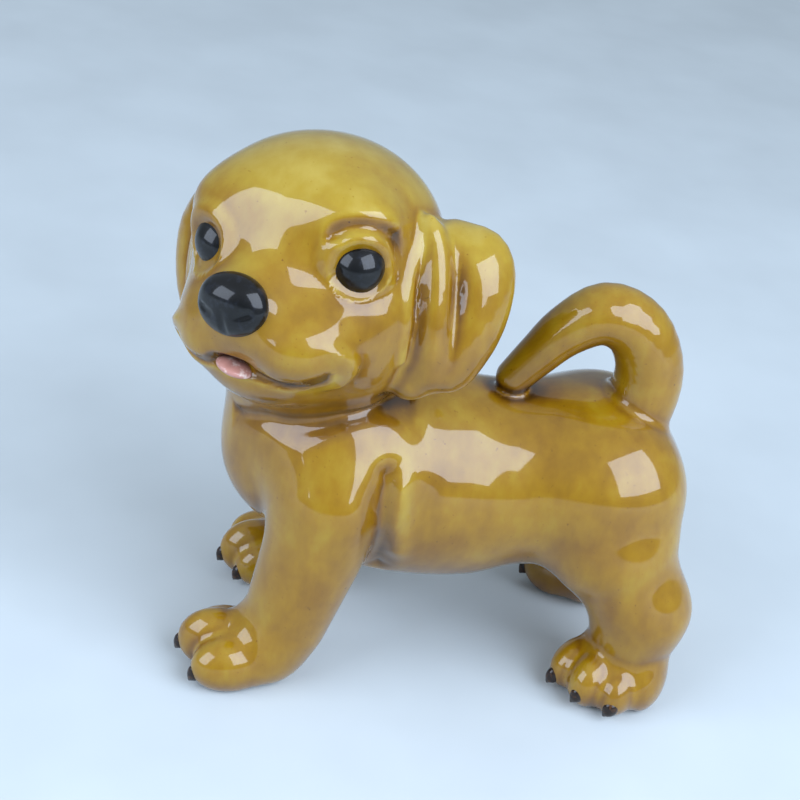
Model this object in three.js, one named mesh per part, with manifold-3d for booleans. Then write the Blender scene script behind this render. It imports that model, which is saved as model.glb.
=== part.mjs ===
// A puppy figurine in glazed ceramic: it stands on four legs, its head turned to its left and
// tipped, its ears hanging and its tail curled over to rest on its back.
//
// Millimetres. +X is the puppy's left, -Y its front and +Z up, with the soles on Z = 0.
// Each form is a field, negative inside the piece, made of ellipsoids and round cones that flow
// into each other. A piece's skin is found on a lattice and then drawn exactly onto its field.

import * as THREE from "three";
import { mergeVertices } from "three/addons/utils/BufferGeometryUtils.js";
import Module from "manifold-3d";

const wasm = await Module();
wasm.setup();

// ---------------------------------------------------------------- driving dimensions

const JOINT = 0.35; // line left open between two pieces that meet
const WALL = 4; // thickness of the cast wall round the hollow body and head

const SKIN_STEP = { body: 5.6, hollow: 8, head: 4.8, leg: 3.7, ear: 3.6, tail: 3.8 };

// Body: each lump is a centre and its half sizes, and each fillet the width of a filled crease.
const RIBCAGE = { at: [0, -17, 48], half: [23, 27, 25.5] };
const BELLY = { at: [0, 4, 46], half: [22.5, 32, 25.5] };
const LOIN = { at: [0, 20, 45.5], half: [21.8, 23, 25.5] };
const RUMP = { at: [0, 34.5, 50], half: [21, 21, 22.5] };
const BREAST = { at: [0, -39, 53], half: [17, 16, 20] };
const NECK = { from: [0, -30, 60], to: [1.5, -39, 78], radius: 19 };
const BODY_FILLET = { ribcage: 8, loin: 6, rump: 10, breast: 9, neck: 8 };
const VENT = { at: [0, 8, 24], radius: 4.5, length: 24 }; // drain hole left under the belly
const NECK_BORE = { at: [1.5, -37, 74], radius: 8, length: 44 }; // joins the two hollows

// Head: its own axes are X left, -Y forward and Z up, turned and tipped as a whole.
const HEAD_AT = [1.5, -39.2, 98.8];
const HEAD_TURN = 56.5;
const HEAD_LIFT = 10.5;
const HEAD_TIP = 9;
const CRANIUM = { at: [-0.6, 4, 4], half: [28.1, 26.5, 25] };
const CHEEKS = { at: [0, -3, -9], half: [26, 21, 16] };
const FLEW = { at: [9.5, -18, -11], half: [12.5, 14, 10.5] };
const BRIDGE = { from: [0, -12, 2.4], to: [0, -26, -4.5], radii: [9.5, 7.5] };
const CHIN = { at: [0, -13, -20], half: [14.5, 13.5, 8.5] };
const THROAT = { at: [9, -2, -17], half: [15, 14, 12] };
const BROW = { at: [14.5, -12.2, 14.6], half: [8.5, 6, 4.5] };
const HEAD_FILLET = { cheeks: 8, flews: 5.5, bridge: 5, chin: 3, throat: 6, brows: 7 };
const EYE_HALF = [6, 4.2, 6.1];
const LEFT_EYE = { at: [18.6, -14.6, 5], turn: 34 };
const RIGHT_EYE = { at: [-15.8, -15.8, 4.8], turn: -27 };
const NOSE = { at: [-0.6, -32, -3.6], half: [8, 4.6, 6.6] };
const TONGUE = { at: [-2.4, -27.6, -18.2], half: [4.8, 4.4, 1.9], tilt: 18 };

// Ear: a flap with a rolled front rim, a full middle and a thinner back edge.
// Each row is X, Y, Z and radius, from the top of the ear down.
const EAR_RIM = [[26, 0, 9, 3.2], [30, -0.6, 1, 3.4], [30.6, -0.8, -9, 3.6], [29, 1.4, -18.5, 4]];
const EAR_LOBE = [[28, 6.5, 7.5, 4], [34.5, 6, -1, 4.6], [34, 6.5, -11, 4.8], [30.5, 5.5, -18.5, 4.6]];
const EAR_EDGE = [
  [28.5, 12.5, 9.5, 3], [36.5, 12.5, 8.5, 3], [39, 12.3, 3, 3.2], [37.2, 11.5, -7, 3.4],
  [32.5, 8.5, -17, 3.8],
];
const RIGHT_EAR_TUCK = 2.5; // the right ear lies this much closer to the head than the left
const EAR_FILLET = { rim: 7, edge: 8 };
const EAR_BOX = { min: [20, -6, -27], max: [44, 18, 16] };

// Legs, given for the left side. The right forefoot stands further back than the left, and the
// top of its leg follows by this share of the way.
const FORELEG = {
  shoulder: { at: [15, -27, 53], half: [11, 16, 19] },
  top: [18, -29, 48], wrist: [20, 8, 16], radii: [13, 10.2], follow: 0.3,
};
const FORELEG_FILLET = { shoulder: 8, paw: 5 };
const FOREFOOT = { left: { x: 21, y: -44, turn: 8 }, right: { x: 20, y: -34.5, turn: 4 } };
const FORE_PAD = { at: [0, 3, 7.5], half: [10, 11, 9.5] };
const HINDLEG = {
  thigh: { at: [13, 37.5, 47], half: [13, 17, 21] },
  knee: [16, 41, 38], hock: [19, 50, 25], heel: [19, 49, 10],
  radii: { knee: 13, hock: 10.2, heel: 9.6 },
};
const HINDLEG_FILLET = { thigh: 6, shank: 4, paw: 3 };
const HINDFOOT = { x: 21, y: 44.5, turn: 48 };
const HIND_PAD = { at: [0, 3, 7.5], half: [9.5, 9.5, 9] };
const FORE_BOX = { min: [2, -66, -4], max: [44, -6, 76] };
const HIND_BOX = { min: [2, 18, -4], max: [44, 66, 76] };

// Toes of a left foot from the inner one out: centre in the foot's own axes, which are X outward
// and -Y ahead, with half sizes and a turn outward in degrees.
const FORE_TOES = [
  { at: [-7.5, -4, 6], half: [4.5, 8, 6.3], turn: -18 },
  { at: [-2.5, -7.5, 7.4], half: [5.6, 9, 8], turn: -12 },
  { at: [4.8, -4.4, 6], half: [6.2, 10, 7.2], turn: 8 },
];
const HIND_TOES = [
  { at: [-7.4, -3.2, 6.4], half: [5, 8, 6.8], turn: -16 },
  { at: [-1, -5.6, 6.8], half: [5.8, 7.5, 7.3], turn: 0 },
  { at: [5.4, -3.4, 6], half: [5, 7.5, 6.6], turn: 14 },
];
const TOE_FILLET = 1.3;
// A claw sits ahead of its toe's middle by a share of the toe's length, and below it by a drop.
const CLAW = { half: [1.6, 2.2, 2.5], drop: 1.8, reach: 0.88 };

// Tail: centre line over the rump and forward to the back, each row X, Y, Z and radius.
const TAIL = [
  [0, 37, 56, 9], [0, 41.5, 68, 8.6], [0, 42.5, 79.5, 8], [0, 37.5, 89.5, 7.6],
  [0, 29, 93, 7.2], [0, 21, 88, 6], [0, 15.5, 81, 5], [0, 11, 74.5, 4.3],
];
const TAIL_STEPS = 16;
const TAIL_BOX = { min: [-10, 5, 44], max: [10, 52, 100] };

const BODY_BOX = { min: [-26, -58, 18], max: [26, 58, 100] };
const HEAD_BOX = { min: [-32, -37, -32], max: [32, 34, 32] };
const MARGIN = 3; // added all round each lattice box
const GROUND = 200; // size of the block that trims everything below the soles
const SHORTEST_EDGE = 0.25; // shorter edges left by the cuts are closed up
const SIDES = { eye: 14, nose: 16, tongue: 12, claw: 8, bore: 20 };

// ---------------------------------------------------------------- glazes

const glaze = (color, roughness) => new THREE.MeshStandardMaterial({ color, roughness, metalness: 0 });
const HONEY_GLAZE = glaze(0xa9792b, 0.12);
const BLACK_GLAZE = glaze(0x0b0b10, 0.08);
const PINK_GLAZE = glaze(0xc98f84, 0.2);
const CLAW_GLAZE = glaze(0x24140a, 0.15);

// ---------------------------------------------------------------- fields

const vec = ([x, y, z]) => new THREE.Vector3(x, y, z);

function ellipsoid(p, centre, [a, b, c]) {
  const x = p.x - centre.x;
  const y = p.y - centre.y;
  const z = p.z - centre.z;
  const inner = Math.hypot(x / a, y / b, z / c);
  const outer = Math.hypot(x / (a * a), y / (b * b), z / (c * c));
  return inner * (inner - 1) / Math.max(outer, 1e-9);
}

// Round cone: a ball at each end and the cone that wraps both.
function roundCone(p, from, to, fromRadius, toRadius) {
  const along = to.clone().sub(from);
  const length = along.length();
  along.divideScalar(length);
  const offset = p.clone().sub(from);
  const height = offset.dot(along);
  const width = Math.sqrt(Math.max(offset.lengthSq() - height * height, 0));
  const slope = (fromRadius - toRadius) / length;
  const flank = Math.sqrt(1 - slope * slope);
  const rise = height * flank - width * slope;
  if (rise < 0) return Math.hypot(width, height) - fromRadius;
  if (rise > length * flank) return Math.hypot(width, height - length) - toRadius;
  return width * flank + height * slope - fromRadius;
}

// Round cones end to end through rows of X, Y, Z and radius.
function chain(p, rows) {
  let nearest = Infinity;
  for (let i = 1; i < rows.length; i += 1) {
    const from = vec(rows[i - 1]);
    const to = vec(rows[i]);
    nearest = Math.min(nearest, roundCone(p, from, to, rows[i - 1][3], rows[i][3]));
  }
  return nearest;
}

// Union whose crease is filled over a width of about k.
function blend(k, ...values) {
  return values.reduce((a, b) => {
    const h = Math.max(k - Math.abs(a - b), 0) / k;
    return Math.min(a, b) - h * h * k / 4;
  });
}

// A lump given for the left side, or the same one on the right where side is -1.
function lump(p, { at: [x, y, z], half }, side = 1) {
  return ellipsoid(p, new THREE.Vector3(x * side, y, z), half);
}

function body(p) {
  let trunk = blend(BODY_FILLET.ribcage, lump(p, RIBCAGE), lump(p, BELLY));
  trunk = blend(BODY_FILLET.loin, trunk, lump(p, LOIN));
  trunk = blend(BODY_FILLET.rump, trunk, lump(p, RUMP));
  trunk = blend(BODY_FILLET.breast, trunk, lump(p, BREAST));
  const neck = roundCone(p, vec(NECK.from), vec(NECK.to), NECK.radius, NECK.radius);
  return blend(BODY_FILLET.neck, trunk, neck);
}

const rad = THREE.MathUtils.degToRad;
const headAngles = new THREE.Euler(rad(-HEAD_LIFT), rad(-HEAD_TIP), rad(HEAD_TURN), "ZXY");
const headPose = new THREE.Matrix4().makeRotationFromEuler(headAngles).setPosition(...HEAD_AT);
const intoHead = headPose.clone().invert();

// The head and ear fields take points in the head's own axes.
function head(p) {
  let face = blend(HEAD_FILLET.cheeks, lump(p, CRANIUM), lump(p, CHEEKS));
  face = blend(HEAD_FILLET.flews, face, lump(p, FLEW, 1), lump(p, FLEW, -1));
  const bridge = roundCone(p, vec(BRIDGE.from), vec(BRIDGE.to), ...BRIDGE.radii);
  face = blend(HEAD_FILLET.bridge, face, bridge);
  face = blend(HEAD_FILLET.chin, face, lump(p, CHIN));
  face = blend(HEAD_FILLET.throat, face, lump(p, THROAT));
  return blend(HEAD_FILLET.brows, face, lump(p, BROW, 1), lump(p, BROW, -1));
}

// The other pieces of the left side; those of the right are the same forms mirrored.
function ear(p) {
  const flap = blend(EAR_FILLET.rim, chain(p, EAR_RIM), chain(p, EAR_LOBE));
  return blend(EAR_FILLET.edge, flap, chain(p, EAR_EDGE));
}

function footPose(foot) {
  return new THREE.Matrix4().makeRotationZ(rad(foot.turn)).setPosition(foot.x, foot.y, 0);
}

function toePose(foot, toe) {
  const own = new THREE.Matrix4().makeRotationZ(rad(toe.turn)).setPosition(...toe.at);
  return footPose(foot).multiply(own);
}

function paw(p, foot, pad, toes) {
  const sole = lump(p.clone().applyMatrix4(footPose(foot).invert()), pad);
  const centre = new THREE.Vector3();
  return toes.reduce((form, toe) => {
    const near = p.clone().applyMatrix4(toePose(foot, toe).invert());
    return blend(TOE_FILLET, form, ellipsoid(near, centre, toe.half));
  }, sole);
}

function foreleg(p, foot) {
  const top = vec(FORELEG.top);
  top.y += (foot.y - FOREFOOT.left.y) * FORELEG.follow;
  const wrist = vec(FORELEG.wrist);
  wrist.y += foot.y;
  const shoulder = lump(p, FORELEG.shoulder);
  const arm = blend(FORELEG_FILLET.shoulder, shoulder, roundCone(p, top, wrist, ...FORELEG.radii));
  return blend(FORELEG_FILLET.paw, arm, paw(p, foot, FORE_PAD, FORE_TOES));
}

function hindleg(p, foot) {
  const [knee, hock, heel] = [vec(HINDLEG.knee), vec(HINDLEG.hock), vec(HINDLEG.heel)];
  const { radii } = HINDLEG;
  const thigh = roundCone(p, knee, hock, radii.knee, radii.hock);
  const shank = roundCone(p, hock, heel, radii.hock, radii.heel);
  let limb = blend(HINDLEG_FILLET.thigh, lump(p, HINDLEG.thigh), thigh);
  limb = blend(HINDLEG_FILLET.shank, limb, shank);
  return blend(HINDLEG_FILLET.paw, limb, paw(p, foot, HIND_PAD, HIND_TOES));
}

const tailLine = new THREE.CatmullRomCurve3(TAIL.map(vec), false, "centripetal");
const tailRows = Array.from({ length: TAIL_STEPS + 1 }, (_, i) => {
  const t = i / TAIL_STEPS;
  const span = t * (TAIL.length - 1);
  const row = Math.min(Math.floor(span), TAIL.length - 2);
  const radius = THREE.MathUtils.lerp(TAIL[row][3], TAIL[row + 1][3], span - row);
  return [...tailLine.getPoint(t).toArray(), radius];
});
const tail = (p) => chain(p, tailRows);

// ---------------------------------------------------------------- skins and solids

function gradient(field, p) {
  const e = 0.05;
  const rise = (step) => field(p.clone().add(step)) - field(p.clone().sub(step));
  const steps = [new THREE.Vector3(e, 0, 0), new THREE.Vector3(0, e, 0), new THREE.Vector3(0, 0, e)];
  return new THREE.Vector3(...steps.map(rise)).divideScalar(2 * e);
}

// Moves a point along the field's slope until the field there equals level.
function settle(field, p, level, reach) {
  const start = p.clone();
  for (let turn = 0; turn < 4; turn += 1) {
    const slope = gradient(field, p);
    p.addScaledVector(slope, (level - field(p)) / Math.max(slope.lengthSq(), 0.2));
  }
  return p.sub(start).clampLength(0, reach).add(start);
}

function geometryFrom(points, indices) {
  const geometry = new THREE.BufferGeometry();
  const places = points.flatMap((p) => p.toArray());
  geometry.setAttribute("position", new THREE.Float32BufferAttribute(places, 3));
  geometry.setIndex(indices);
  return geometry;
}

// Closed skin round the region where the field is below level: one point in each lattice cell that
// the surface crosses, and a square of four cells round each lattice edge that it crosses.
function skin(field, box, step, level = 0) {
  const lengths = box.getSize(new THREE.Vector3()).toArray();
  const counts = lengths.map((length) => Math.ceil(length / step) + 1);
  const place = (i, j, k) => new THREE.Vector3(i, j, k).multiplyScalar(step).add(box.min);
  const key = (i, j, k) => (i * counts[1] + j) * counts[2] + k;
  const inside = new Uint8Array(counts[0] * counts[1] * counts[2]);
  const depth = new Float64Array(inside.length);
  const each = (visit) => {
    for (let i = 0; i < counts[0]; i += 1) {
      for (let j = 0; j < counts[1]; j += 1) {
        for (let k = 0; k < counts[2]; k += 1) visit(i, j, k);
      }
    }
  };
  each((i, j, k) => {
    depth[key(i, j, k)] = field(place(i, j, k)) - level;
    inside[key(i, j, k)] = depth[key(i, j, k)] < 0 ? 1 : 0;
  });

  const corners = [0, 1, 2, 3, 4, 5, 6, 7].map((c) => [c & 1, (c >> 1) & 1, (c >> 2) & 1]);
  const edges = corners.flatMap(
    (_, c) => [1, 2, 4].filter((bit) => !(c & bit)).map((bit) => [c, c | bit]),
  );
  const points = [];
  const pointOf = new Map();
  each((i, j, k) => {
    if (i === counts[0] - 1 || j === counts[1] - 1 || k === counts[2] - 1) return;
    const keys = corners.map(([a, b, c]) => key(i + a, j + b, k + c));
    const crossed = edges.filter(([a, b]) => inside[keys[a]] !== inside[keys[b]]);
    if (!crossed.length) return;
    const mean = new THREE.Vector3();
    for (const [a, b] of crossed) {
      const t = depth[keys[a]] / (depth[keys[a]] - depth[keys[b]]);
      mean.add(vec(corners[a]).lerp(vec(corners[b]), t));
    }
    const p = mean.divideScalar(crossed.length).multiplyScalar(step).add(place(i, j, k));
    pointOf.set(key(i, j, k), points.length);
    points.push(settle(field, p, level, step));
  });

  const faces = [];
  const around = (i, j, k, axis) => {
    const [u, v] = [[1, 2], [2, 0], [0, 1]][axis];
    return [[1, 1], [0, 1], [0, 0], [1, 0]].map(([a, b]) => {
      const cell = [i, j, k];
      cell[u] -= a;
      cell[v] -= b;
      return pointOf.get(key(...cell));
    });
  };
  each((i, j, k) => {
    for (const axis of [0, 1, 2]) {
      const next = [i, j, k];
      next[axis] += 1;
      if (next[axis] === counts[axis]) continue;
      const here = inside[key(i, j, k)];
      if (here === inside[key(...next)]) continue;
      const ring = around(i, j, k, axis);
      if (!here) ring.reverse();
      const [a, b, c, d] = ring;
      const across = points[a].distanceTo(points[c]) < points[b].distanceTo(points[d]);
      faces.push(...(across ? [a, b, c, a, c, d] : [a, b, d, b, c, d]));
    }
  });
  return geometryFrom(points, faces);
}

function solid(geometry) {
  const bare = geometry.clone();
  bare.deleteAttribute("normal");
  bare.deleteAttribute("uv");
  const merged = mergeVertices(bare, 1e-4);
  const vertProperties = new Float32Array(merged.getAttribute("position").array);
  const triVerts = new Uint32Array(merged.getIndex().array);
  return new wasm.Manifold(new wasm.Mesh({ numProp: 3, vertProperties, triVerts }));
}

// Draws the ends of every edge shorter than shortest together, wherever that keeps the skin closed.
function weldShortEdges(points, triangles, shortest) {
  let faces = triangles;
  for (let found = true; found;) {
    found = false;
    const beside = points.map(() => new Set());
    for (const face of faces) face.forEach((a) => face.forEach((b) => a !== b && beside[a].add(b)));
    const busy = new Set();
    const target = points.map((_, i) => i);
    for (const face of faces) {
      for (let corner = 0; corner < 3; corner += 1) {
        const [a, b] = [face[corner], face[(corner + 1) % 3]];
        if (points[a].distanceTo(points[b]) > shortest || busy.has(a) || busy.has(b)) continue;
        if ([...beside[a]].filter((other) => beside[b].has(other)).length !== 2) continue;
        target[b] = a;
        found = true;
        [a, b, ...beside[a], ...beside[b]].forEach((near) => busy.add(near));
      }
    }
    faces = faces.map((face) => face.map((i) => target[i]));
    faces = faces.filter(([a, b, c]) => a !== b && b !== c && c !== a);
  }
  return faces;
}

function geometryOf(manifold) {
  const { vertProperties, triVerts } = manifold.getMesh();
  const rows = (list) => Array.from({ length: list.length / 3 }, (_, i) => list.slice(3 * i, 3 * i + 3));
  const points = rows(vertProperties).map(([x, y, z]) => new THREE.Vector3(x, y, z));
  const triangles = rows(Array.from(triVerts));
  const geometry = geometryFrom(points, weldShortEdges(points, triangles, SHORTEST_EDGE).flat());
  geometry.computeVertexNormals();
  return geometry;
}

const boxOf = ({ min, max }) => new THREE.Box3(vec(min), vec(max)).expandByScalar(MARGIN);
const without = (piece, ...others) => others.reduce((rest, other) => rest.subtract(other), piece);

// A solid of the form where it is deeper than level, in its own axes or posed.
function cast(form, box, step, level = 0, pose = new THREE.Matrix4()) {
  return solid(skin(form, boxOf(box), step, level).applyMatrix4(pose));
}

// A small piece of rounded outline, set in its own axes, and the slightly larger seat cut for it.
const bead = (half, sides) => new THREE.SphereGeometry(1, sides, Math.round(sides * 0.6)).scale(...half);
function seat(half, sides, pose, gap = JOINT) {
  return solid(bead(half.map((r) => r + gap), sides).applyMatrix4(pose));
}

// The same geometry on the other side of the puppy, with its faces turned to suit.
function flipped(geometry) {
  const other = geometry.clone().scale(-1, 1, 1);
  const index = other.getIndex();
  for (let i = 0; i < index.count; i += 3) {
    const first = index.getX(i);
    index.setX(i, index.getX(i + 2));
    index.setX(i + 2, first);
  }
  other.computeVertexNormals();
  return other;
}

// ---------------------------------------------------------------- pieces

const puppy = new THREE.Group();

function add(parent, name, geometry, material, pose = new THREE.Matrix4()) {
  const mesh = new THREE.Mesh(geometry, material);
  mesh.name = name;
  mesh.applyMatrix4(pose);
  parent.add(mesh);
}

const headGroup = new THREE.Group();
headGroup.applyMatrix4(headPose);
puppy.add(headGroup);

const grownBody = cast(body, BODY_BOX, SKIN_STEP.body, JOINT);
const grownBodyInHead = cast(body, BODY_BOX, SKIN_STEP.body, JOINT, intoHead);
const grownHead = cast(head, HEAD_BOX, SKIN_STEP.head, JOINT);
const grownHeadInBody = cast(head, HEAD_BOX, SKIN_STEP.head, JOINT, headPose);
const ground = solid(new THREE.BoxGeometry(GROUND, GROUND, GROUND).translate(0, 0, -GROUND / 2));

function upright({ at, radius, length }) {
  return new THREE.CylinderGeometry(radius, radius, length, SIDES.bore)
    .rotateX(Math.PI / 2)
    .translate(...at);
}

// Body: a cast shell, drained through the vent and open into the head at the neck.
const bodyHollow = cast(body, BODY_BOX, SKIN_STEP.hollow, -WALL);
const torso = without(
  cast(body, BODY_BOX, SKIN_STEP.body),
  without(bodyHollow, cast(head, HEAD_BOX, SKIN_STEP.head, WALL, headPose)),
  grownHeadInBody, solid(upright(VENT)), solid(upright(NECK_BORE)),
);
add(puppy, "torso", geometryOf(torso), HONEY_GLAZE);

// Head: a cast shell with seats for the eyes, the nose and the tongue.
const headHollow = cast(head, HEAD_BOX, SKIN_STEP.hollow, -WALL);
const posed = ({ at, turn = 0, tilt = 0 }) => new THREE.Matrix4()
  .makeRotationFromEuler(new THREE.Euler(0, rad(tilt), rad(turn), "ZYX"))
  .setPosition(...at);
const skull = without(
  cast(head, HEAD_BOX, SKIN_STEP.head),
  without(headHollow, seat(NOSE.half, SIDES.nose, posed(NOSE), WALL)),
  seat(EYE_HALF, SIDES.eye, posed(LEFT_EYE)), seat(EYE_HALF, SIDES.eye, posed(RIGHT_EYE)),
  seat(NOSE.half, SIDES.nose, posed(NOSE)), seat(TONGUE.half, SIDES.tongue, posed(TONGUE)),
  solid(upright(NECK_BORE).applyMatrix4(intoHead)),
);
add(headGroup, "head", geometryOf(skull), HONEY_GLAZE);
add(headGroup, "left_eye", bead(EYE_HALF, SIDES.eye), BLACK_GLAZE, posed(LEFT_EYE));
add(headGroup, "right_eye", bead(EYE_HALF, SIDES.eye), BLACK_GLAZE, posed(RIGHT_EYE));
add(headGroup, "nose", bead(NOSE.half, SIDES.nose), BLACK_GLAZE, posed(NOSE));
add(headGroup, "tongue", bead(TONGUE.half, SIDES.tongue), PINK_GLAZE, posed(TONGUE));

const leftFlap = skin(ear, boxOf(EAR_BOX), SKIN_STEP.ear);
const rightFlap = flipped(leftFlap).translate(RIGHT_EAR_TUCK, 0, 0);
for (const [name, flap] of [["left_ear", leftFlap], ["right_ear", rightFlap]]) {
  const cut = without(solid(flap), grownHead, grownBodyInHead);
  add(headGroup, name, geometryOf(cut), HONEY_GLAZE);
}

// Legs with flat soles, each with a claw set in the front of each toe.
function addLeg(name, side, form, foot, box, toes) {
  const own = (geometry) => (side > 0 ? geometry : flipped(geometry));
  const clawPose = (toe) => new THREE.Matrix4()
    .makeTranslation(0, -toe.half[1] * CLAW.reach, -CLAW.drop)
    .premultiply(toePose(foot, toe));
  const clawOf = (half) => (toe) => own(bead(half, SIDES.claw).applyMatrix4(clawPose(toe)));
  const limb = own(skin((p) => form(p, foot), boxOf(box), SKIN_STEP.leg));
  const seats = toes.map(clawOf(CLAW.half.map((r) => r + JOINT)));
  const leg = without(solid(limb), grownBody, ground, ...seats.map(solid));
  add(puppy, `${name}_leg`, geometryOf(leg), HONEY_GLAZE);
  const claws = toes.map(clawOf(CLAW.half));
  claws.forEach((claw, i) => add(puppy, `${name}_claw_${i + 1}`, claw, CLAW_GLAZE));
}
addLeg("front_left", 1, foreleg, FOREFOOT.left, FORE_BOX, FORE_TOES);
addLeg("front_right", -1, foreleg, FOREFOOT.right, FORE_BOX, FORE_TOES);
addLeg("rear_left", 1, hindleg, HINDFOOT, HIND_BOX, HIND_TOES);
addLeg("rear_right", -1, hindleg, HINDFOOT, HIND_BOX, HIND_TOES);

// Tail: from the rump, up and forward, its tip resting on the back.
const tailSolid = cast(tail, TAIL_BOX, SKIN_STEP.tail);
add(puppy, "tail", geometryOf(without(tailSolid, grownBody)), HONEY_GLAZE);

// The origin is the middle of the puppy's extent, at the height of its soles.
const middle = new THREE.Box3().setFromObject(puppy, true).getCenter(new THREE.Vector3());
puppy.position.set(-middle.x, -middle.y, 0);

export default puppy;
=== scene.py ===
"""A glazed ceramic puppy: cast body, head, ears, legs and tail under one honey glaze, with black
glazed eyes and nose, a pink tongue and dark claws, on a pale studio floor."""

from math import cos, radians, sin

import bpy
import numpy as np
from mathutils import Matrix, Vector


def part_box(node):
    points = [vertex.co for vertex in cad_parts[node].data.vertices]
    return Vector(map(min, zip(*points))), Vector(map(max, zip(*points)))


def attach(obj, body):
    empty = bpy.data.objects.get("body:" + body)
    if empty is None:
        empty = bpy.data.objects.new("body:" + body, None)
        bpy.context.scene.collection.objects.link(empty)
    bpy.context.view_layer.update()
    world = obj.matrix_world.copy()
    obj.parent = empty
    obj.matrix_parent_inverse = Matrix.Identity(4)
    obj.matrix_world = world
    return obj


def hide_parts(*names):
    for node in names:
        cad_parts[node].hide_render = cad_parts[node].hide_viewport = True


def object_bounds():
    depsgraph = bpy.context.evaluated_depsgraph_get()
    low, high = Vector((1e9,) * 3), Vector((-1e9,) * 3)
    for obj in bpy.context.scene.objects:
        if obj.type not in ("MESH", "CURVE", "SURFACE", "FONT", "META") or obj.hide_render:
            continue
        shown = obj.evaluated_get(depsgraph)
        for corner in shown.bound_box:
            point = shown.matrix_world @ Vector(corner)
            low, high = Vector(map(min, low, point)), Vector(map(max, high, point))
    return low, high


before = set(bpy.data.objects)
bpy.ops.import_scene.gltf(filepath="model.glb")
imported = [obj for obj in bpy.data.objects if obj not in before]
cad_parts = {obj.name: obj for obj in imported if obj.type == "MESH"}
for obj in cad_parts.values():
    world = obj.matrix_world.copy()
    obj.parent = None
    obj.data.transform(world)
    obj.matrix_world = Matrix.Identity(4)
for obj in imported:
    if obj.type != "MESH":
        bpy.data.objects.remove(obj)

import openvdb
from bpy.props import FloatProperty, FloatVectorProperty, PointerProperty
from bpy.types import Operator, Panel, PropertyGroup
from mathutils import Matrix, Vector

bl_info = {
    "name": "Glazed ceramic puppy",
    "version": (1, 0, 0),
    "blender": (4, 5, 0),
    "location": "View3D > Sidebar > Puppy",
    "description": "Casts and glazes a standing ceramic puppy on its packed frame",
    "category": "Add Mesh",
}

MM = 0.001
CAD_BOX = [list(corner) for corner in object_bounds()]

# The casting's own axes are in millimetres: +X the puppy's left, -Y its front, +Z up from the
# soles. They stand where the torso and the top of the head are in the frame.
TORSO_MIDDLE_Y = -1.2
TOP_OF_HEAD = 126.95
torso_low, torso_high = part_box("torso")
GRAIN = (CAD_BOX[1][2] - CAD_BOX[0][2]) / TOP_OF_HEAD
CAST_ORIGIN = np.array([
    (torso_low.x + torso_high.x) / 2,
    (torso_low.y + torso_high.y) / 2 - TORSO_MIDDLE_Y * GRAIN,
    CAD_BOX[0][2],
])


def to_frame(points):
    """Casting points, in millimetres, as points of the frame, in metres."""
    return np.asarray(points, float) * GRAIN + CAST_ORIGIN


# ------------------------------------------------------------------------------ forms
# A form is a distance field: negative inside, in millimetres, for points in rows.

# Depths and heights left by the modelling tools, which a user can change in the sidebar.
TOOLING = {"lid": 1.5, "mouth": 0.7, "collar": 1.7, "shoulder": 0.8, "toe": 2.2, "ear": 0.9, "lute": 4.5}


def ellipsoid(points, centre, half):
    offset = points - np.asarray(centre, points.dtype)
    half = np.asarray(half, points.dtype)
    inner = np.sqrt(((offset / half) ** 2).sum(-1))
    outer = np.sqrt(((offset / half**2) ** 2).sum(-1)) + 1e-6
    return inner * (inner - 1) / outer


def round_cone(points, start, end, start_radius, end_radius):
    """A ball at each end and the cone that wraps both."""
    start, end = np.asarray(start, points.dtype), np.asarray(end, points.dtype)
    length = float(np.linalg.norm(end - start))
    along = (end - start) / length
    offset = points - start
    height = offset @ along
    width = np.sqrt(np.maximum((offset**2).sum(-1) - height**2, 0))
    slope = (start_radius - end_radius) / length
    flank = np.sqrt(max(1 - slope * slope, 1e-6))
    rise = height * flank - width * slope
    side = width * flank + height * slope - start_radius
    low = np.hypot(width, height) - start_radius
    high = np.hypot(width, height - length) - end_radius
    return np.where(rise < 0, low, np.where(rise > length * flank, high, side))


def smooth_rows(rows, steps):
    """A Catmull-Rom curve through rows of place and radius, with that many steps a span."""
    rows = np.array(rows, float)
    rows = np.vstack([2 * rows[0] - rows[1], rows, 2 * rows[-1] - rows[-2]])
    curve = []
    for a, b, c, d in zip(rows[:-3], rows[1:-2], rows[2:-1], rows[3:]):
        for t in np.arange(steps) / steps:
            bend = (2 * a - 5 * b + 4 * c - d) * t**2 + (3 * b - a - 3 * c + d) * t**3
            curve.append((2 * b + (c - a) * t + bend) / 2)
    curve.append(rows[-2])
    return np.array(curve)


def roll(points, rows, steps=4):
    """A rolled coil of clay through rows of X, Y, Z and radius."""
    curve = smooth_rows(rows, steps)
    nearest = None
    for a, b in zip(curve[:-1], curve[1:]):
        part = round_cone(points, a[:3], b[:3], a[3], b[3])
        nearest = part if nearest is None else np.minimum(nearest, part)
    return nearest


def join(a, b, fillet):
    """Union whose crease is filled over about that width."""
    h = np.maximum(fillet - np.abs(a - b), 0) / fillet
    return np.minimum(a, b) - h * h * fillet / 4


def press(a, tool, fillet):
    """The form with a tool's shape pressed out of it."""
    return -join(-a, tool, fillet)


def ramp(value, low, high):
    t = np.clip((value - low) / (high - low), 0, 1)
    return t * t * (3 - 2 * t)


def flat(points, axis):
    """Points with one coordinate dropped to nothing, for a line drawn square to that axis."""
    keep = np.ones(3, points.dtype)
    keep[axis] = 0
    return points * keep


def drawn(points, axis, rows, steps=3):
    """Distance from a line drawn across a form, seen along an axis. Each row is its place in the
    other two axes and its half width."""
    rows = [[*np.insert(np.array(row[:2], float), axis, 0), row[2]] for row in rows]
    return roll(flat(points, axis), rows, steps)


def scored(form, line, width, fillet, lift=0.0):
    """The form with a groove along a line, as deep as its half width less the tool's lift."""
    return press(form, np.hypot(np.maximum(line + width, 0), form - lift) - width, fillet)


def raised(form, line, width, fillet, sink=0.0):
    """The form with a half-round ridge laid along a line and sunk in by some depth."""
    return join(form, np.hypot(np.maximum(line + width, 0), form + sink) - width, fillet)


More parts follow.
